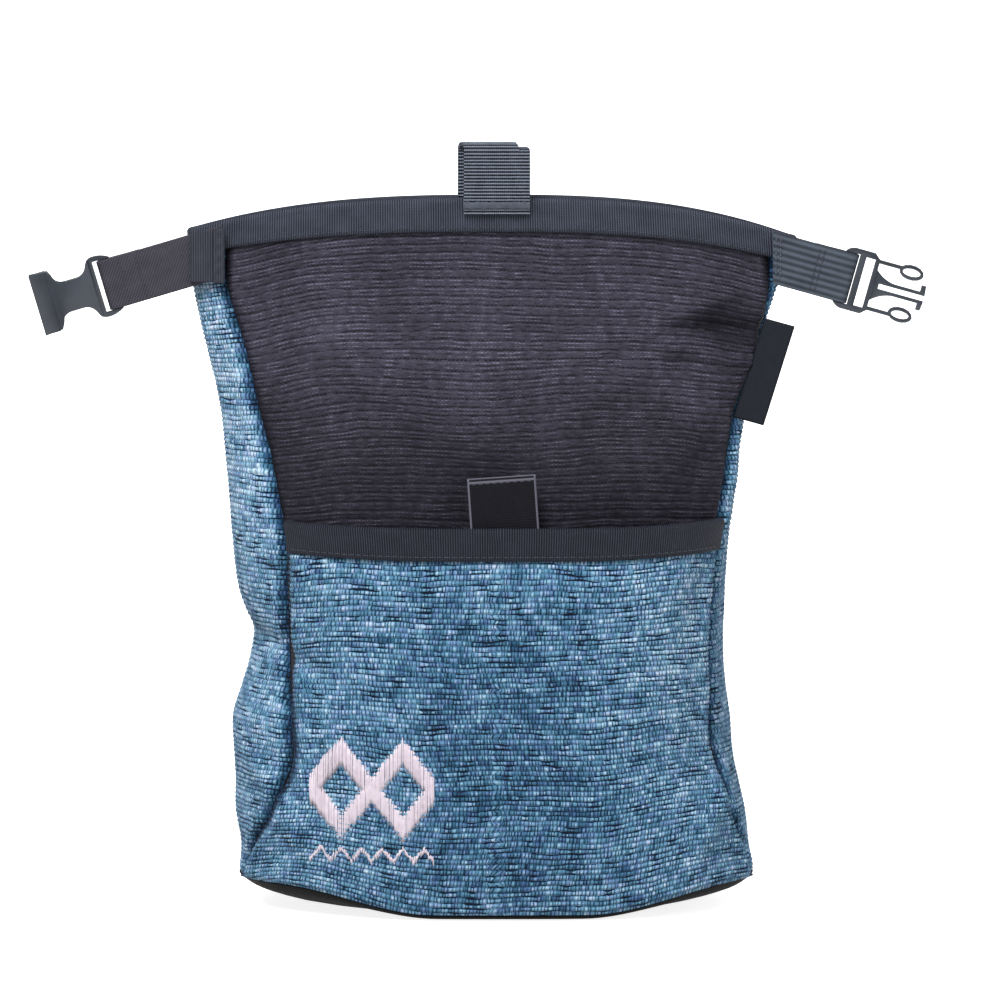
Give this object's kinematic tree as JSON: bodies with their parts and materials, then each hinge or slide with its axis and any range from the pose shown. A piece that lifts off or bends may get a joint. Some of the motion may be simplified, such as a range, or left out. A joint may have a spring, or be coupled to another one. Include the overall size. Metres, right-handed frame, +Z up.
{
  "type": "climbing chalk bag",
  "caption": "Tall roll-top climbing chalk bag, standing open, with a front pocket, a grab loop and two closing straps that end in side-release buckle halves.",
  "frame": {"origin": "centre of the flat middle of the base, on the surface that the bag stands on", "axes": "+X to the bag's right as seen from the pocket side, +Y from the pocket side to the back, +Z up"},
  "size_m": [0.3524, 0.1143, 0.302],
  "materials": {
    "blue_chenille": "ribbed heathered chenille, matte",
    "black_rib": "fine ribbed weave, matte",
    "base_cloth": "plain coated weave, matte",
    "binding_tape": "grosgrain, slight sheen",
    "webbing": "woven webbing, slight sheen",
    "buckle_plastic": "moulded, satin"
  },
  "bodies": {
    "root": {"base_panel": "base_cloth", "front_panel": "black_rib", "back_panel": "black_rib", "side_panel_left": "blue_chenille", "side_panel_right": "blue_chenille", "pocket_panel": "blue_chenille", "pocket_binding": "binding_tape", "pocket_tab": "webbing", "rim_binding": "binding_tape", "top_loop": "webbing", "belt_loop": "webbing", "side_label": "binding_tape", "strap_left": "webbing", "buckle_socket": "buckle_plastic", "strap_right": "webbing", "buckle_plug": "buckle_plastic"}
  },
  "joints": []
}
